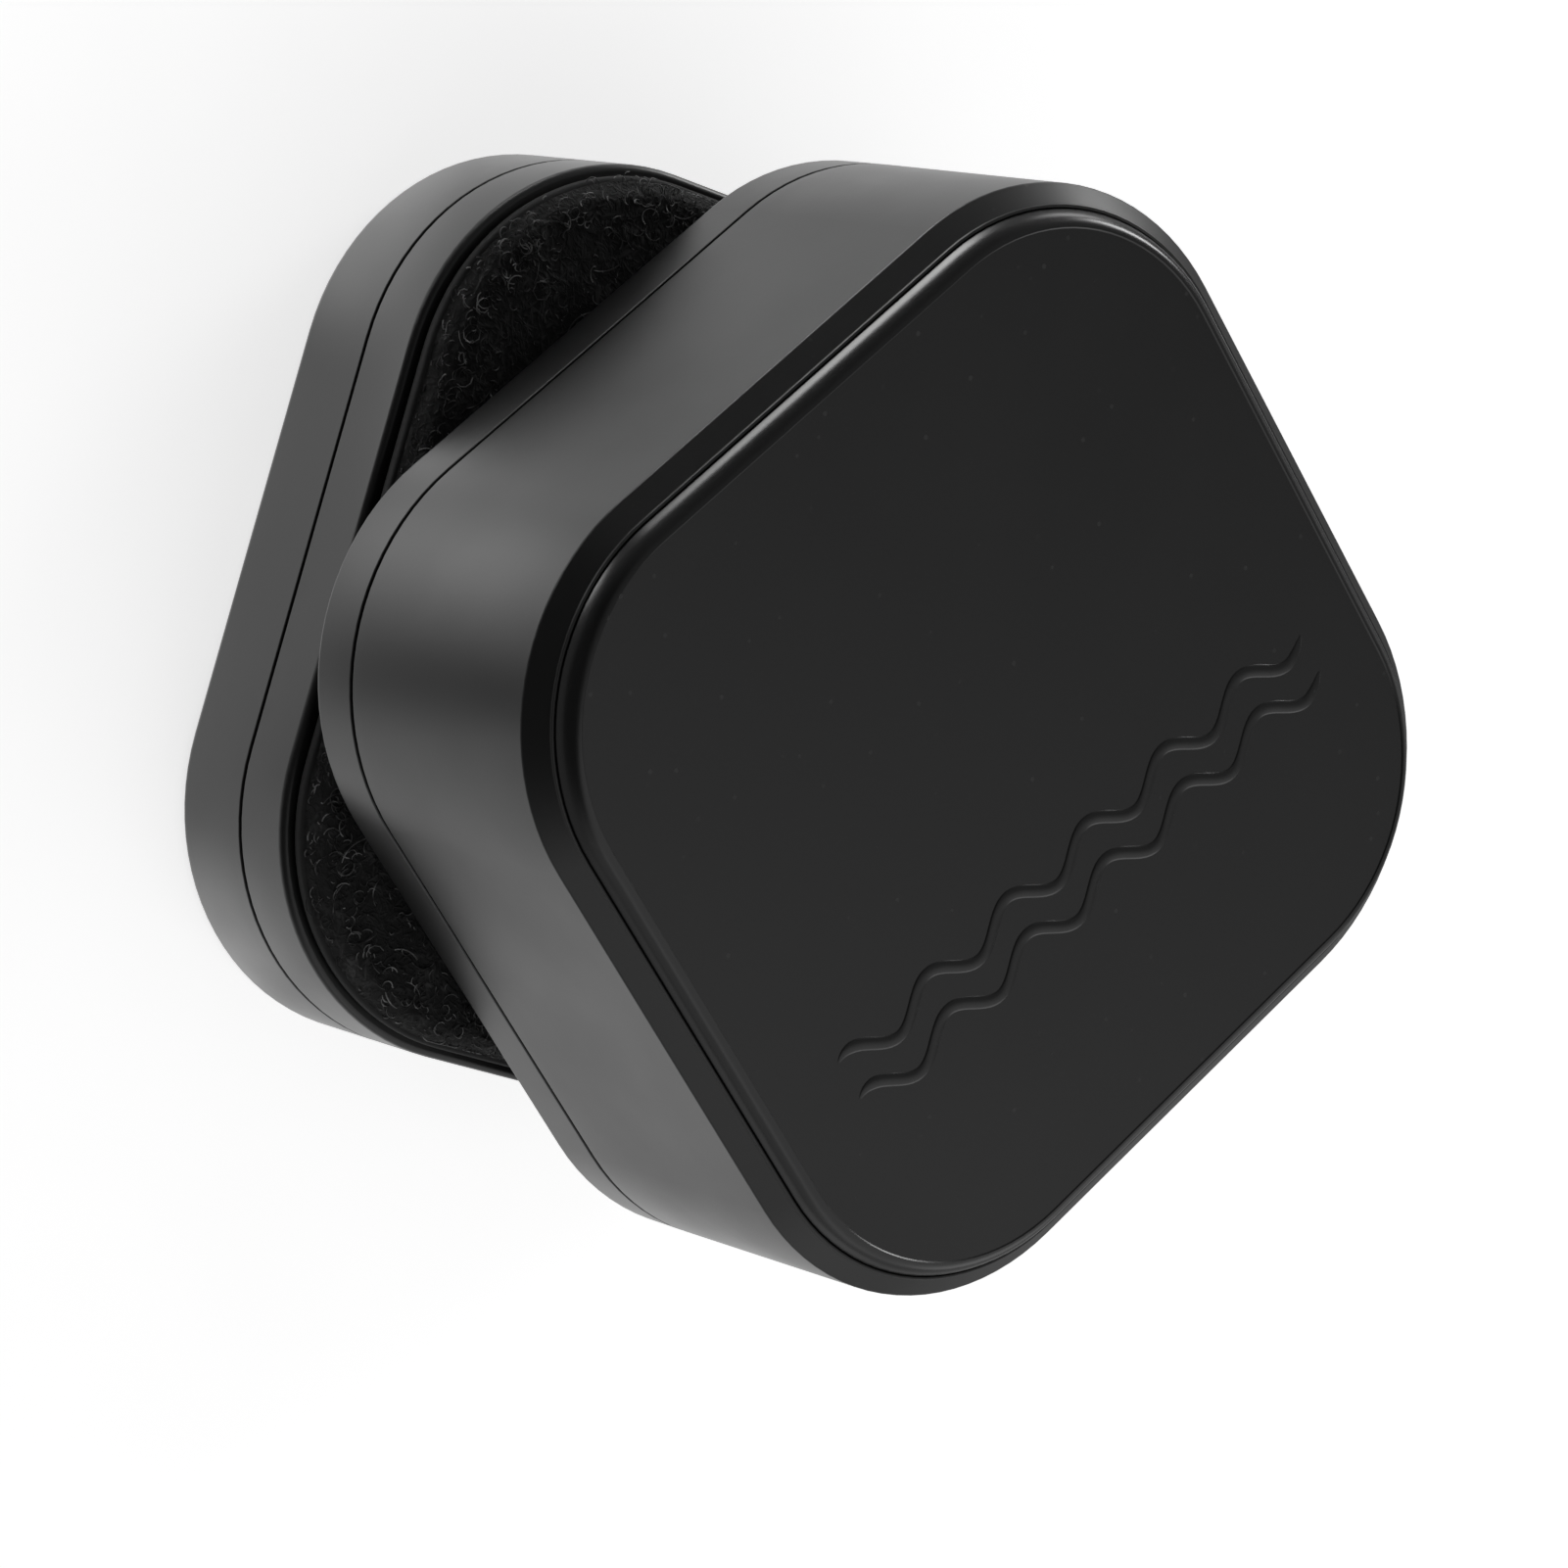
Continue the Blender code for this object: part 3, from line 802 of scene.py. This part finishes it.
@dataclass
class ScrubPad:
    """Bristle pad of the wet half: smooth backing, dense ground and curly loops."""

    shop: Workshop
    half: float = 27.3
    low: float = 12.70
    lip: float = 12.38
    rim: float = 13.10
    ceiling: float = 15.13
    ground: float = 14.35
    crown: float = 0.15
    slope: float = 1.1
    pile_shift: Point2 = (-0.25, 0.1)
    edge: float = 0.28
    lip_round: float = 0.15
    field_loops: int = 2600
    rim_loops: int = 1900
    filament: float = 0.042
    seed: int = 11

    def build(self) -> None:
        """Build and dress the pad and its loops."""
        self.rng = np.random.default_rng(self.seed)
        self.body()
        self.loops()

    def ground_at(self, half: float) -> float:
        """Height of the fibre ground at an offset outline of this half width."""
        inset = min(max((self.half - self.edge - half) / self.slope, 0.0), 1.0)
        return self.rim + (self.ground - self.rim) * math.sin(inset * math.pi / 2)

    def ground_halves(self) -> list[float]:
        """Half widths of the rings that carry the ground, close together at the slope."""
        start = self.half - self.edge - 0.06
        steep = np.linspace(start, start - self.slope, 9)
        flat = np.linspace(start - self.slope - 0.5, 1.5, 44)
        return [float(half) for half in np.r_[steep, flat]]

    def mould(self, points: np.ndarray) -> np.ndarray:
        """Crown the ground and roughen it a little."""
        top = points[:, 2] > self.rim + 0.02
        reach = (np.abs(points[:, :2] / self.half) ** 4).sum(axis=1) ** 0.25
        points[top, 2] += self.crown * (1 - np.clip(reach[top], 0, 1) ** 3)
        points[top, 2] += self.rng.normal(0.0, 0.025, int(top.sum()))
        points[top, :2] += self.rng.normal(0.0, 0.05, (int(top.sum()), 2))
        return points

    def body(self) -> None:
        """Backing with a rounded rim that carries the fibre ground."""
        h, e, r = self.half, self.edge, self.lip_round
        profile = [(6.0, self.low), (h - 3 * r, self.low), (h - 3 * r + 0.03, self.lip)]
        profile += quarter_round(h - r, self.lip + r, r, r, -90, 0, 3)
        profile += quarter_round(h - e, self.rim - e, e, e, 0, 90, 4)
        profile += [(half, self.ground_at(half)) for half in self.ground_halves()]
        maker = SolidMaker(Outline(arc_steps=30, straight_steps=26))
        pad = maker.loft("scrub_pad", profile, moulder=self.mould)
        self.shop.dress(pad, self.shop.finish.ground, Body.WET, Slot.BRISTLE, "inner_scrub_pad")
        pad.data.materials.append(self.shop.finish.backing)
        for face in pad.data.polygons:
            if face.center.z < (self.rim + 0.005) * MM:
                face.material_index = 1

    def spots(self) -> list[tuple[float, float, float]]:
        """Where loops grow: x, y and the half width of the outline through them."""
        found: list[tuple[float, float, float]] = []
        edge = self.half - self.edge - 0.05
        outline = self.shop.outline
        corner = outline.radius_at(edge)
        while len(found) < self.field_loops + self.rim_loops:
            near_rim = len(found) >= self.field_loops
            x, y = self.rng.uniform(-edge, edge, 2)
            past = np.maximum(np.abs((x, y)) - (edge - corner), 0.0)
            inset = corner - math.hypot(*past) if past.all() else edge - max(abs(x), abs(y))
            if inset < 0 or (near_rim and inset > self.rng.gamma(1.3, 0.9)):
                continue
            found.append((x + self.pile_shift[0], y + self.pile_shift[1], edge - inset))
        return found

    def filament_path(self, x: float, y: float, half: float) -> np.ndarray:
        """One curly filament: an arc that leans over and springs back to the ground."""
        rng = self.rng
        long_one = rng.random() < 0.05
        radius = rng.uniform(1.0, 2.2) if long_one else rng.uniform(0.18, 0.62)
        span = rng.uniform(1.0, 1.8) if long_one else rng.gamma(3.4, 0.6)
        heading, first = rng.uniform(0, 2 * math.pi), rng.uniform(0, 2 * math.pi)
        lean = rng.uniform(0.10, 0.55)
        turn = np.linspace(first, first + span, 9)
        u, v = radius * np.cos(turn), radius * np.sin(turn)
        px = x + u * math.cos(heading) - v * math.sin(heading) * math.cos(lean)
        py = y + u * math.sin(heading) + v * math.cos(heading) * math.cos(lean)
        pz = v * math.sin(lean) + np.linspace(0, rng.uniform(-0.2, 0.2), 9)
        pz = pz - pz.min()
        room = self.ceiling - self.filament - self.ground
        pz = self.ground_at(half) + np.minimum(pz, 1.0) * room * rng.uniform(0.55, 1.0)
        limit = self.half - 0.35
        path = np.c_[px, py, pz]
        path[:, :2] = np.clip(path[:, :2], -limit, limit)
        return path

    def loops(self) -> None:
        """All loops as one mesh of thin closed tubes."""
        sides = 5
        turn = np.linspace(0, 2 * math.pi, sides, endpoint=False)[None, :, None]
        points: list[np.ndarray] = []
        faces: list[Face] = []
        for x, y, half in self.spots():
            path = self.filament_path(x, y, half)
            along = np.gradient(path, axis=0)
            along /= np.linalg.norm(along, axis=1)[:, None] + 1e-9
            side = np.cross(along, (0.0, 0.0, 1.0))
            length = np.linalg.norm(side, axis=1)[:, None]
            side = np.where(length > 1e-4, side / (length + 1e-9), (1.0, 0.0, 0.0))
            over = np.cross(side, along)
            radius = self.filament * self.rng.uniform(0.6, 1.15)
            tube = path[:, None, :] + radius * (np.cos(turn) * side[:, None, :]
                                                + np.sin(turn) * over[:, None, :])
            faces += skin(sides, len(path), start=len(points) * len(path) * sides)
            points.append(tube.reshape(-1, 3))
        maker = SolidMaker(self.shop.outline)
        loops = maker.from_points("scrub_pad_loops", np.vstack(points), faces)
        self.shop.dress(loops, self.shop.finish.loops, Body.WET, Slot.BRISTLE)


@dataclass(frozen=True)
class WaveRib:
    """A low wavy rib that runs along a flat face, in millimetres."""

    y: float
    start: float = -21.0
    end: float = 20.0
    swing: float = 0.9
    wavelength: float = 7.0
    half_width: float = 0.40
    height: float = 0.09
    root: float = 0.15
    sink: float = 0.002
    fade: float = 1.2
    steps: int = 150
    sides: int = 8

    def solid(self, name: str, maker: SolidMaker, face: float) -> bpy.types.Object:
        """The rib as a closed solid whose root lies under a face at this height."""
        x = np.linspace(self.start, self.end, self.steps)
        fade = np.clip(np.minimum(x - self.start, self.end - x) / self.fade, 0.05, 1.0)[:, None] ** 0.5
        wave = 2 * math.pi / self.wavelength
        line = self.y + self.swing * np.sin(wave * x)
        slope = self.swing * wave * np.cos(wave * x)
        across = np.c_[-slope, np.ones(self.steps)] / np.sqrt(1 + slope ** 2)[:, None]
        angle = np.linspace(0, math.pi, self.sides)
        reach = fade * self.half_width * np.r_[np.cos(angle), -1.0, 1.0]
        rise = np.c_[fade * self.height * np.sin(angle) - self.sink,
                     np.full((self.steps, 2), -self.root)]
        points = np.dstack([x[:, None] + across[:, :1] * reach,
                            line[:, None] + across[:, 1:] * reach, face + rise])
        return maker.from_points(name, points.reshape(-1, 3), skin(self.sides + 2, self.steps))


@dataclass
class DryHalf:
    """Deep half that is held in the hand: shell, face plate, pad cover and felt."""

    shop: Workshop
    half: float = 28.0
    rim: float = 16.6
    rim_edge: float = 0.45
    recess_half: float = 26.2
    recess_top: float = 18.0
    parting: float = 20.63
    parting_gap: float = 0.25
    skirt_half: float = 25.7
    skirt_rise: float = 2.8
    bore_half: float = 24.5
    floor: float = 1.6
    wall: float = 2.0
    draft_half: float = 27.86
    bevel_low: float = 38.44
    ridge_half: float = 26.66
    land: float = 39.72
    step: float = 0.14
    mouth_half: float = 26.47
    seat: float = 38.45
    ceiling: float = 36.75
    plate_half: float = 26.44
    plate_low: float = 38.75
    flank_low: float = 39.66
    face: float = 40.8
    boss_at: float = 17.0
    boss_radius: float = 3.0
    boss_foot: float = 31.5
    pilot_radius: float = 1.3
    peg_at: float = 9.0
    peg_radius: float = 1.2
    crisp: float = 0.10
    turn: float = -37.1
    shift: Point2 = (0.95, 1.57)
    flank: tuple[tuple[float, float, float, int], ...] = (
        (18.0, 27.0, 0.56, 4), (27.0, 45.0, 0.55, 4), (45.0, 90.0, 0.66, 8))
    ribs: tuple[WaveRib, ...] = (WaveRib(8.1), WaveRib(10.9))
    felt_half: float = 25.9
    felt_low: float = 15.45
    felt_high: float = 17.45
    felt_crown: float = 0.14
    felt_unevenness: float = 0.012
    felt_seed: int = 5

    def build(self) -> None:
        """Build and dress every piece of the half."""
        self.maker = SolidMaker(self.shop.outline, Placement(self.turn, self.shift))
        self.pad_cover()
        self.shell()
        self.face_plate()
        self.felt_pad()
        finish = self.shop.finish
        self.shop.repaint(finish.moulding, "outer_magnet_cradle")
        self.shop.repaint(finish.film, "outer_pad_adhesive")
        self.shop.repaint(finish.steel, *(f"cradle_screw_{number}" for number in range(1, 5)))

    @staticmethod
    def corners(distance: float) -> list[Point2]:
        """Four places on the diagonals, this far from both middle lines."""
        return [(distance * x, distance * y) for x, y in CORNERS]

    def pad_cover(self) -> None:
        """Pad-side cover: a recess for the felt below and a skirt above."""
        lip = self.parting - self.parting_gap / 2
        h, e, r = self.half, self.crisp, self.rim_edge
        top = self.parting + self.skirt_rise
        profile = [(CORE, self.recess_top), (self.recess_half, self.recess_top)]
        profile += quarter_round(self.recess_half + 0.25, self.rim + 0.25, 0.25, 0.25, 180, 270, 4)
        profile += quarter_round(h - r, self.rim + r, r, r, -90, 0, 5)
        profile += quarter_round(h - e, lip - e, e, e, 0, 90, 3)
        profile += [(self.skirt_half, lip), (self.skirt_half, top), (self.bore_half, top),
                    (self.bore_half, self.recess_top + self.floor),
                    (CORE, self.recess_top + self.floor)]
        cover = self.maker.loft("dry_pad_cover", profile)
        self.shop.house(cover, Body.DRY, "outer_pad_cover")

    def shell(self) -> None:
        """Deep tub with a bevelled front, a seat for the face plate and screw bosses."""
        low = self.parting + self.parting_gap / 2
        h, e = self.half, self.crisp
        profile = [(CORE, self.seat), (self.mouth_half, self.seat)]
        profile += quarter_round(self.mouth_half + 0.03, self.land - 0.03, 0.03, 0.03, 180, 90, 2)
        profile += quarter_round(self.ridge_half - 0.06, self.land - 0.06, 0.06, 0.06, 90, 4, 4)
        profile += [(self.ridge_half + 0.02, self.land - self.step)]
        profile += [(self.draft_half - e * 0.7, self.bevel_low + e * 0.7),
                    (self.draft_half - e * 0.15, self.bevel_low + e * 0.05),
                    (self.draft_half + 0.001, self.bevel_low - e)]
        profile += [(h - 0.005, low + 1.0)]
        profile += quarter_round(h - e, low + e, e, e, 0, -90, 3)
        inner = h - self.wall
        profile += [(inner, low), (inner, self.ceiling), (CORE, self.ceiling)]
        shell = self.maker.loft("dry_shell", profile)
        bosses, pegs = self.corners(self.boss_at), self.corners(self.peg_at)
        combine(shell, self.maker.posts("boss", self.boss_radius, self.boss_foot,
                                        self.ceiling + 0.8, bosses), Cut.JOIN)
        holes = self.maker.posts("pilot", self.pilot_radius, self.boss_foot - 2.0,
                                 self.ceiling - 1.0, bosses, 20)
        holes += self.maker.posts("peg_hole", self.peg_radius + 0.3, self.ceiling - 2.0,
                                  self.land, pegs, 20)
        combine(shell, holes, Cut.REMOVE)
        self.shop.house(shell, Body.DRY, "outer_shell")

    def face_plate(self) -> None:
        """Raised panel with one large soft edge, wavy ribs and four locating pegs."""
        h = self.plate_half
        profile = [(CORE, self.plate_low), (h - 0.1, self.plate_low), (h, self.plate_low + 0.1)]
        profile += turning_edge(h, self.flank_low, self.flank)
        shoulder = profile[-1][0]
        profile[-1] = (shoulder, self.face)
        profile += [(shoulder - 0.6, self.face), (CORE, self.face)]
        plate = self.maker.loft("dry_face_plate", profile)
        additions = self.maker.posts("peg", self.peg_radius, self.plate_low - 2.2,
                                     self.plate_low + 0.6, self.corners(self.peg_at), 20)
        additions += [rib.solid(f"rib_{number}", self.maker, self.face)
                      for number, rib in enumerate(self.ribs)]
        combine(plate, additions, Cut.JOIN)
        self.shop.house(plate, Body.DRY, "outer_face_plate", self.shop.finish.plate)

    def felt_pad(self) -> None:
        """Soft felt sheet, crowned towards the glass and a little uneven at its edge."""
        rng = np.random.default_rng(self.felt_seed)
        h, low, high = self.felt_half, self.felt_low, self.felt_high
        profile = [(1.5, high), (h - 1.5, high)]
        profile += quarter_round(h - 0.3, high - 0.3, 0.3, 0.3, 90, 0, 3)
        profile += quarter_round(h - 0.7, low + 0.75, 0.7, 0.55, 0, -90, 6)
        profile += [(float(x), low + 0.2) for x in np.linspace(h - 1.3, 1.5, 30)]

        def mould(points: np.ndarray) -> np.ndarray:
            """Crown the working face and roughen it."""
            under = points[:, 2] < low + 0.6
            reach = np.clip((np.abs(points[:, :2] / h) ** 4).sum(axis=1) ** 0.25, 0, 1)
            points[under, 2] -= self.felt_crown * (1 - reach[under] ** 4)
            points[under, 2] += rng.normal(0.0, self.felt_unevenness, int(under.sum()))
            points[:, :2] += rng.normal(0.0, self.felt_unevenness, (len(points), 2))
            points[:, 2] = np.clip(points[:, 2], low + 0.01, high)
            return points

        maker = SolidMaker(Outline(arc_steps=30, straight_steps=26), self.maker.placement)
        felt = maker.loft("felt_pad", profile, moulder=mould)
        self.shop.dress(felt, self.shop.finish.felt, Body.DRY, Slot.FELT, "outer_felt_pad")


@dataclass
class MagnetPack:
    """Steel pot and disc magnet that the dry half turns round."""

    shop: Workshop

    def build(self) -> None:
        """Dress the pack's carried-over pieces."""
        self.shop.repaint(self.shop.finish.steel, "outer_steel_cup")
        self.shop.repaint(self.shop.finish.nickel, "outer_magnet")


# ---------------------------------------------------------------- studio


@dataclass(frozen=True)
class Pool:
    """A soft patch of light on the floor: millimetres, and degrees about the vertical."""

    centre: Point2
    reach: Point2
    strength: float
    degrees: float = 0.0
    core: float = 0.0


@dataclass(frozen=True)
class Softbox:
    """A soft area of light in the surroundings: direction and size in degrees."""

    azimuth: float
    elevation: float
    inner: float
    outer: float
    strength: float


@dataclass
class Studio:
    """Pale floor, soft surroundings and the camera."""

    floor_radius: float = 1.6
    floor_base: float = 0.32
    pools: tuple[Pool, ...] = (
        Pool((0.0, 0.0), (94.0, 72.0), 0.70, 0.0, 0.70),
        Pool((-11.5, -47.0), (19.0, 14.0), 1.65, -15.0, 0.10),
        Pool((14.0, -50.0), (12.0, 17.0), -0.66, 0.0, 0.25),
        Pool((-20.0, -27.5), (11.0, 7.0), 0.9, -42.0, 0.20),
        Pool((25.0, -23.5), (9.0, 6.0), 0.7, 42.0, 0.20),
        Pool((-230.0, -102.0), (190.0, 56.0), 13.5, 24.0, 0.25),
        Pool((-76.0, -158.0), (62.0, 34.0), 7.5, 65.0, 0.3),
        Pool((-330.0, 110.0), (230.0, 66.0), 3.8, -18.0, 0.6),
        Pool((230.0, 20.0), (150.0, 100.0), 0.45, 0.0, 0.5),
        Pool((-70.0, 110.0), (95.0, 60.0), -0.22, 0.0, 0.4),
    )
    sky_base: float = 0.25
    dimmest: float = 0.04
    backdrop: float = 0.96
    seen_glow: float = 0.72
    softboxes: tuple[Softbox, ...] = (
        Softbox(37.0, 41.0, 30.0, 46.0, 0.56),
        Softbox(0.0, 18.0, 10.0, 34.0, 0.28),
        Softbox(141.0, 4.0, 8.0, 15.0, 10.0),
        Softbox(62.0, 10.0, 9.0, 22.0, 0.75),
        Softbox(108.0, 4.0, 6.0, 14.0, 0.3),
        Softbox(-78.0, 37.0, 20.0, 60.0, -0.17),
        Softbox(207.0, 32.0, 20.0, 45.0, -0.07),
    )
    camera_at: Point3 = (0.01815, -0.2186, 0.3162)
    right: Point3 = (-0.2698, 0.7674, 0.5817)
    up: Point3 = (-0.9624, -0.2354, -0.1357)
    lens: float = 138.25
    sensor: float = 36.0

    def build(self) -> None:
        """Build the studio."""
        self.build_floor()
        self.build_world()
        self.build_camera()

    def build_floor(self) -> None:
        """A large pale disc whose light pools colour only what the object reflects."""
        mesh = bpy.data.meshes.new("studio_floor")
        shape = bmesh.new()
        bmesh.ops.create_circle(shape, cap_ends=True, segments=96, radius=self.floor_radius)
        bmesh.ops.translate(shape, verts=shape.verts, vec=(0.0, 0.0, -0.0001))
        shape.to_mesh(mesh)
        shape.free()
        floor = bpy.data.objects.new("studio_floor", mesh)
        bpy.context.scene.collection.objects.link(floor)
        material, g, shader = open_material("pale_floor")
        tree = material.node_tree
        place = g.place()
        total: object = self.floor_base
        for pool in self.pools:
            (x, y), (wide, deep) = pool.centre, pool.reach
            moved = g.node("ShaderNodeMapping", {"vector_type": "TEXTURE"}, Vector=place,
                           Location=(x * MM, y * MM, 0), Scale=(wide * MM, deep * MM, 1),
                           Rotation=(0, 0, math.radians(pool.degrees))).outputs["Vector"]
            far = g.node("ShaderNodeVectorMath", {"operation": "LENGTH"},
                         Vector=moved).outputs["Value"]
            total = g.plus(total, g.ease(far, 1.0, pool.core, 0.0, pool.strength))
        seen = g.noise(place, 40.0, 3.0)
        shader.inputs["Roughness"].default_value = 0.8
        g.feed(shader, "Base Color", g.tint(g.ease(seen, 0.3, 0.7), grey(0.80), grey(0.84)))
        shader.inputs["Emission Color"].default_value = grey(1.0)
        shader.inputs["Emission Strength"].default_value = self.seen_glow
        glow = g.node("ShaderNodeEmission", Strength=total)
        path = g.node("ShaderNodeLightPath")
        mix = g.node("ShaderNodeMixShader")
        tree.links.new(path.outputs["Is Camera Ray"], mix.inputs[0])
        tree.links.new(glow.outputs[0], mix.inputs[1])
        tree.links.new(shader.outputs[0], mix.inputs[2])
        tree.links.new(mix.outputs[0], tree.nodes["Material Output"].inputs["Surface"])
        mesh.materials.append(material)

    def build_world(self) -> None:
        """Soft surroundings: a dim base with broad softboxes."""
        world = bpy.data.worlds.new("studio_surroundings")
        world.use_nodes = True
        bpy.context.scene.world = world
        g = Graph(world.node_tree)
        direction = g.node("ShaderNodeTexCoord").outputs["Generated"]
        total: object = self.sky_base
        for box in self.softboxes:
            az, el = math.radians(box.azimuth), math.radians(box.elevation)
            aim = (math.cos(el) * math.cos(az), math.cos(el) * math.sin(az), math.sin(el))
            near = g.node("ShaderNodeVectorMath", {"operation": "DOT_PRODUCT"})
            g.feed(near, 0, direction)
            g.feed(near, 1, aim)
            edge, core = math.cos(math.radians(box.outer)), math.cos(math.radians(box.inner))
            total = g.plus(total, g.ease(near.outputs["Value"], edge, core, 0.0, box.strength))
        total = g.math("MAXIMUM", total, self.dimmest)
        seen = g.node("ShaderNodeLightPath").outputs["Is Camera Ray"]
        total = g.ease(seen, 0.0, 1.0, total, self.backdrop)
        background = world.node_tree.nodes["Background"]
        g.feed(background, "Strength", total)
        background.inputs["Color"].default_value = grey(1.0)

    def build_camera(self) -> None:
        """The camera, placed by its own axes."""
        camera = bpy.data.cameras.new("studio_camera")
        camera.lens = self.lens
        camera.sensor_width = self.sensor
        camera.clip_start = 0.01
        camera.clip_end = 10.0
        holder = bpy.data.objects.new("studio_camera", camera)
        bpy.context.scene.collection.objects.link(holder)
        right, up = Vector(self.right).normalized(), Vector(self.up)
        up = (up - right * up.dot(right)).normalized()
        back = right.cross(up)
        turned = Matrix((right, up, back)).transposed().to_4x4()
        holder.matrix_world = Matrix.Translation(self.camera_at) @ turned
        bpy.context.scene.camera = holder
        bpy.context.scene.view_settings.view_transform = "Standard"


def main() -> None:
    """Build every sub-assembly in order and report it."""
    logging.basicConfig(level=logging.INFO, format="%(name)s: %(message)s")
    shop = Workshop(Finish())
    for assembly in (WetHalf(shop), ScrubPad(shop), MagnetPack(shop), DryHalf(shop), Studio()):
        assembly.build()
        LOG.info("%s is ready", type(assembly).__name__)


if __name__ == "__main__":
    main()
